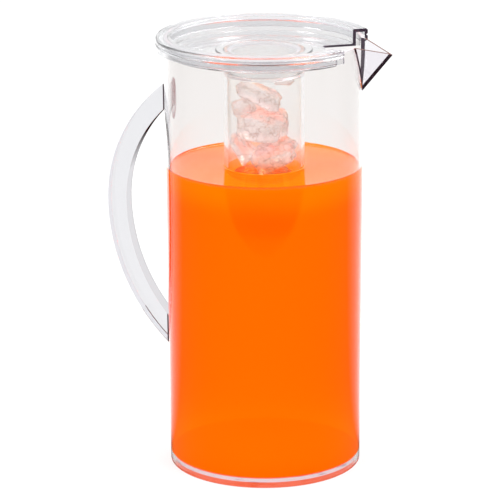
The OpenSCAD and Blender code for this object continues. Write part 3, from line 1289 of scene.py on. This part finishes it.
@dataclass
class IceFill:
    """The ice in the core: broken lumps piled up inside the tube."""

    room_r: float = 19.7
    view_turn: float = PHOTO_TURN
    rounding: float = 0.24
    jitter: float = 0.14
    swells: tuple[Point, ...] = ((0.22, 2.4), (0.07, 7.0))
    lean_a: float = 15.0
    spin_a: float = 25.0
    seed: int = 7
    crisp: float = 80.0
    lumps: tuple[Lump, ...] = (
        Lump(-0.8, -3.0, 210.5, (24, 14, 9), 24),
        Lump(-11.0, -2.0, 204.0, (12, 10, 9), -12),
        Lump(11.0, 5.0, 216.5, (11, 9, 5), -5),
        Lump(-0.8, 0.0, 193.0, (30, 19, 14), 4),
        Lump(-11.0, 0.0, 180.0, (17, 13, 9), 52),
        Lump(6.0, -1.0, 177.0, (23, 17, 12), -12),
        Lump(-1.4, 4.0, 163.0, (28, 22, 8), -3),
        Lump(1.0, 2.0, 153.0, (24, 24, 10), 14),
        Lump(-6.0, 0.0, 143.5, (15, 18, 9), -20),
        Lump(8.0, 1.0, 142.5, (11, 15, 11), 30),
        Lump(0.0, 0.0, 132.0, (14, 14, 10), 8))

    def chance(self, rng: random.Random, most: float) -> float:
        """Draws an angle of up to so many degrees either way, in radians."""
        return math.radians(rng.uniform(-most, most))

    def lump(self, index: int, spec: Lump, rng: random.Random) -> bpy.types.Object:
        """Shapes one lump.

        Args:
            index: its number, for its name.
            spec: its place and size.
            rng: where its chance turns come from.

        Returns:
            The lump as an object.
        """
        bm = bmesh.new()
        bmesh.ops.create_cube(bm, size=1.0)
        for vert in bm.verts:
            vert.co += Vector([rng.uniform(-self.jitter, self.jitter) for _ in range(3)])
        bmesh.ops.bevel(bm, geom=bm.edges[:], offset=self.rounding, offset_type="OFFSET",
                        affect="EDGES", segments=4, profile=0.5, material=-1)
        bmesh.ops.subdivide_edges(bm, edges=bm.edges[:], cuts=2, use_grid_fill=True)
        bmesh.ops.smooth_vert(bm, verts=bm.verts, factor=0.5, use_axis_x=True, use_axis_y=True,
                              use_axis_z=True)
        seed = Vector([rng.uniform(0, 50) for _ in range(3)])
        for vert in bm.verts:
            vert.co *= 1 + sum(depth * noise.noise(vert.co * fineness + seed)
                               for depth, fineness in self.swells)
        bmesh.ops.scale(bm, verts=bm.verts, vec=Vector(spec.size) * MM)
        bmesh.ops.rotate(bm, verts=bm.verts, cent=(0, 0, 0),
                         matrix=Matrix.Rotation(math.radians(spec.tilt), 3, "Y")
                         @ Matrix.Rotation(self.chance(rng, self.lean_a), 3, "X")
                         @ Matrix.Rotation(self.chance(rng, self.spin_a), 3, "Z"))
        turn = Matrix.Rotation(math.radians(self.view_turn), 3, "Z")
        bmesh.ops.rotate(bm, verts=bm.verts, cent=(0, 0, 0), matrix=turn)
        bmesh.ops.translate(bm, verts=bm.verts,
                            vec=turn @ Vector((spec.across, spec.away, spec.height)) * MM)
        for vert in bm.verts:
            out = math.hypot(vert.co.x, vert.co.y)
            room = self.room_r * MM
            if out > room:
                vert.co.x *= room / out
                vert.co.y *= room / out
        return to_object(f"ice_{index}", bm, self.crisp)

    def build(self) -> None:
        """Fills the core with ice."""
        rng = random.Random(self.seed)
        finish = Ice().make()
        for index, spec in enumerate(self.lumps, 1):
            piece = self.lump(index, spec, rng)
            dress(piece, finish)
            settle(piece, Body.CORE, Slot.CORE)


@dataclass
class Studio:
    """A plain white studio: floor, soft lamps, and a white room with a darker ceiling."""

    floor_r: float = 12.0
    floor_colour: float = 0.25
    floor_glow: float = 0.72
    floor_lights: float = 0.23
    floor_mirrored: float = 1.75
    floor_through: float = 0.85
    bright_side: float = 104.0
    bright_from: float = 0.3
    bright_to: float = 0.92
    bright_least: float = 0.1
    room_light: float = 0.85
    ceiling: float = 0.45
    ceiling_from: float = 0.62
    ceiling_to: float = 0.85
    floor_drop: float = 0.0002
    aim_h: float = 0.12
    lamps: tuple[tuple[str, Point3, float, float], ...] = (
        ("lamp_top", (0.0, 0.4, 2.0), 1.6, 8),
        ("lamp_left", (-1.5, -1.3, 1.9), 1.0, 32),
        ("lamp_right", (1.7, -0.9, 1.9), 1.0, 30),
        ("lamp_back", (0.3, 1.8, 1.9), 1.0, 18))

    def floor(self) -> None:
        """Lays the floor: near white to rays that show a view, less the object's shadow."""
        bm = bmesh.new()
        bmesh.ops.create_circle(bm, cap_ends=True, radius=self.floor_r, segments=64)
        bmesh.ops.translate(bm, verts=bm.verts, vec=(0, 0, -self.floor_drop))
        floor = to_object("floor", bm)
        material, tree = new_material("paper_white")
        matt = add_node(tree, "ShaderNodeBsdfDiffuse",
                        inputs={"Color": (*[self.floor_colour] * 3, 1)})
        path = add_node(tree, "ShaderNodeLightPath")
        share = add_node(tree, "ShaderNodeMix", {0: path.outputs["Is Camera Ray"]},
                         {2: self.floor_through * self.floor_glow, 3: self.floor_glow})
        level = add_node(tree, "ShaderNodeMix", {0: self.seen(tree), 3: share},
                         {2: self.floor_lights})
        glow = add_node(tree, "ShaderNodeEmission", {"Strength": level}, {"Color": WHITE})
        both = add_node(tree, "ShaderNodeAddShader", {0: matt, 1: glow})
        turn = math.radians(self.bright_side)
        place = add_node(tree, "ShaderNodeTexCoord")
        way = add_node(tree, "ShaderNodeVectorMath", {0: place.outputs["Object"]},
                       operation="NORMALIZE")
        toward = add_node(tree, "ShaderNodeVectorMath", {0: way},
                          {1: (math.cos(turn), math.sin(turn), 0)}, operation="DOT_PRODUCT")
        bright = add_node(tree, "ShaderNodeMapRange", {"Value": toward.outputs["Value"]},
                          {"From Min": self.bright_from, "From Max": self.bright_to,
                           "To Min": self.bright_least, "To Max": self.floor_mirrored})
        lit = add_node(tree, "ShaderNodeEmission", {"Strength": bright}, {"Color": WHITE})
        shown = add_node(tree, "ShaderNodeMixShader", {0: is_mirror_ray(tree), 1: both, 2: lit})
        add_node(tree, "ShaderNodeOutputMaterial", {"Surface": shown})
        dress(floor, material)

    def seen(self, tree: bpy.types.NodeTree) -> bpy.types.Node:
        """Tells rays that show a view: camera, mirror and glass rays.

        Args:
            tree: the tree that gets the nodes.

        Returns:
            A node that gives 1 for such a ray.
        """
        path = add_node(tree, "ShaderNodeLightPath")
        some = add_node(tree, "ShaderNodeMath", {0: path.outputs["Is Camera Ray"],
                                                 1: path.outputs["Is Glossy Ray"]},
                        operation="MAXIMUM")
        return add_node(tree, "ShaderNodeMath", {0: some, 1: path.outputs["Is Transmission Ray"]},
                        operation="MAXIMUM")

    def room(self) -> None:
        """Sets the world: white to look at, with a darker ceiling that only plastic shows."""
        world = bpy.data.worlds.new("studio")
        bpy.context.scene.world = world
        world.use_nodes = True
        tree = world.node_tree
        tree.nodes.clear()
        way = add_node(tree, "ShaderNodeTexCoord")
        split = add_node(tree, "ShaderNodeSeparateXYZ", {0: way.outputs["Generated"]})
        shade = add_node(tree, "ShaderNodeMapRange", {"Value": split.outputs["Z"]},
                         {"From Min": self.ceiling_from, "From Max": self.ceiling_to,
                          "To Min": 1.0, "To Max": self.ceiling}, interpolation_type="SMOOTHSTEP")
        path = add_node(tree, "ShaderNodeLightPath")
        view = add_node(tree, "ShaderNodeMix", {0: path.outputs["Is Camera Ray"], 2: shade},
                        {3: 1.0})
        level = add_node(tree, "ShaderNodeMix", {0: self.seen(tree), 3: view},
                         {2: self.room_light})
        light = add_node(tree, "ShaderNodeBackground", {"Strength": level}, {"Color": WHITE})
        add_node(tree, "ShaderNodeOutputWorld", {"Surface": light})

    def lamp(self, name: str, place: Point3, size: float, watts: float) -> None:
        """Hangs a square soft lamp that faces the pitcher.

        Args:
            name: the lamp's name.
            place: where it hangs, in metres.
            size: its side, in metres.
            watts: its power.
        """
        data = bpy.data.lights.new(name, "AREA")
        data.shape, data.size, data.energy = "SQUARE", size, watts
        lamp = bpy.data.objects.new(name, data)
        lamp.location = place
        aim = Vector((0, 0, self.aim_h)) - Vector(place)
        lamp.rotation_euler = aim.to_track_quat("-Z", "Y").to_euler()
        bpy.context.scene.collection.objects.link(lamp)

    def build(self) -> None:
        """Sets up floor, room and lamps."""
        self.floor()
        self.room()
        for lamp in self.lamps:
            self.lamp(*lamp)


@dataclass(frozen=True)
class PhotoCamera:
    """The photograph's view, fitted to the jug's rings and edges."""

    focal_px: float = 3081.0
    frame_px: float = 500.0
    sensor: float = 36.0
    distance: float = 1.644
    height: float = 0.5984
    turn: float = PHOTO_TURN
    yaw: float = -0.284
    pitch: float = 16.19
    roll: float = -0.25
    clip: tuple[float, float] = (0.05, 50.0)

    def build(self) -> None:
        """Places the camera and makes it the scene's."""
        data = bpy.data.cameras.new("camera")
        data.sensor_width = self.sensor
        data.lens = self.focal_px / self.frame_px * self.sensor
        data.clip_start, data.clip_end = self.clip
        yaw, pitch, roll = (math.radians(a) for a in (self.yaw, self.pitch, self.roll))
        ahead = Vector((math.sin(yaw) * math.cos(pitch), math.cos(yaw) * math.cos(pitch),
                        -math.sin(pitch)))
        level = Vector((math.cos(yaw), -math.sin(yaw), 0))
        right = math.cos(roll) * level + math.sin(roll) * level.cross(ahead)
        up = right.cross(ahead)
        turn = Matrix.Rotation(math.radians(self.turn), 4, "Z")
        pose = Matrix((right, up, -ahead)).transposed().to_4x4()
        pose.translation = Vector((0, -self.distance, self.height))
        camera = bpy.data.objects.new("camera", data)
        camera.matrix_world = turn @ pose
        bpy.context.scene.collection.objects.link(camera)
        bpy.context.scene.camera = camera


def set_colour_and_light_paths() -> None:
    """Sets plain colour and enough light bounces for walls behind walls."""
    scene = bpy.context.scene
    scene.view_settings.view_transform = "Standard"
    for kind in ("max_bounces", "transmission_bounces", "transparent_max_bounces"):
        setattr(scene.cycles, kind, CLEAR_BOUNCES)
    scene.cycles.glossy_bounces = GLOSSY_BOUNCES


def corners(box: Iterable[Iterable[float]]) -> list[list[float]]:
    """Turns a box of vectors to plain lists."""
    return [list(corner) for corner in box]


def main() -> None:
    """Builds the pitcher and the studio."""
    logging.basicConfig(level=logging.INFO, format="%(name)s: %(message)s")
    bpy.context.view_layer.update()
    set_colour_and_light_paths()
    core = Core()
    jug = Jug()
    jug.build()
    Handle().build(jug)
    Lid().build()
    core.build()
    Drink().build(jug, core)
    IceFill().build()
    Studio().build()
    PhotoCamera().build()
    bpy.context.view_layer.update()


if __name__ == "__main__":
    main()
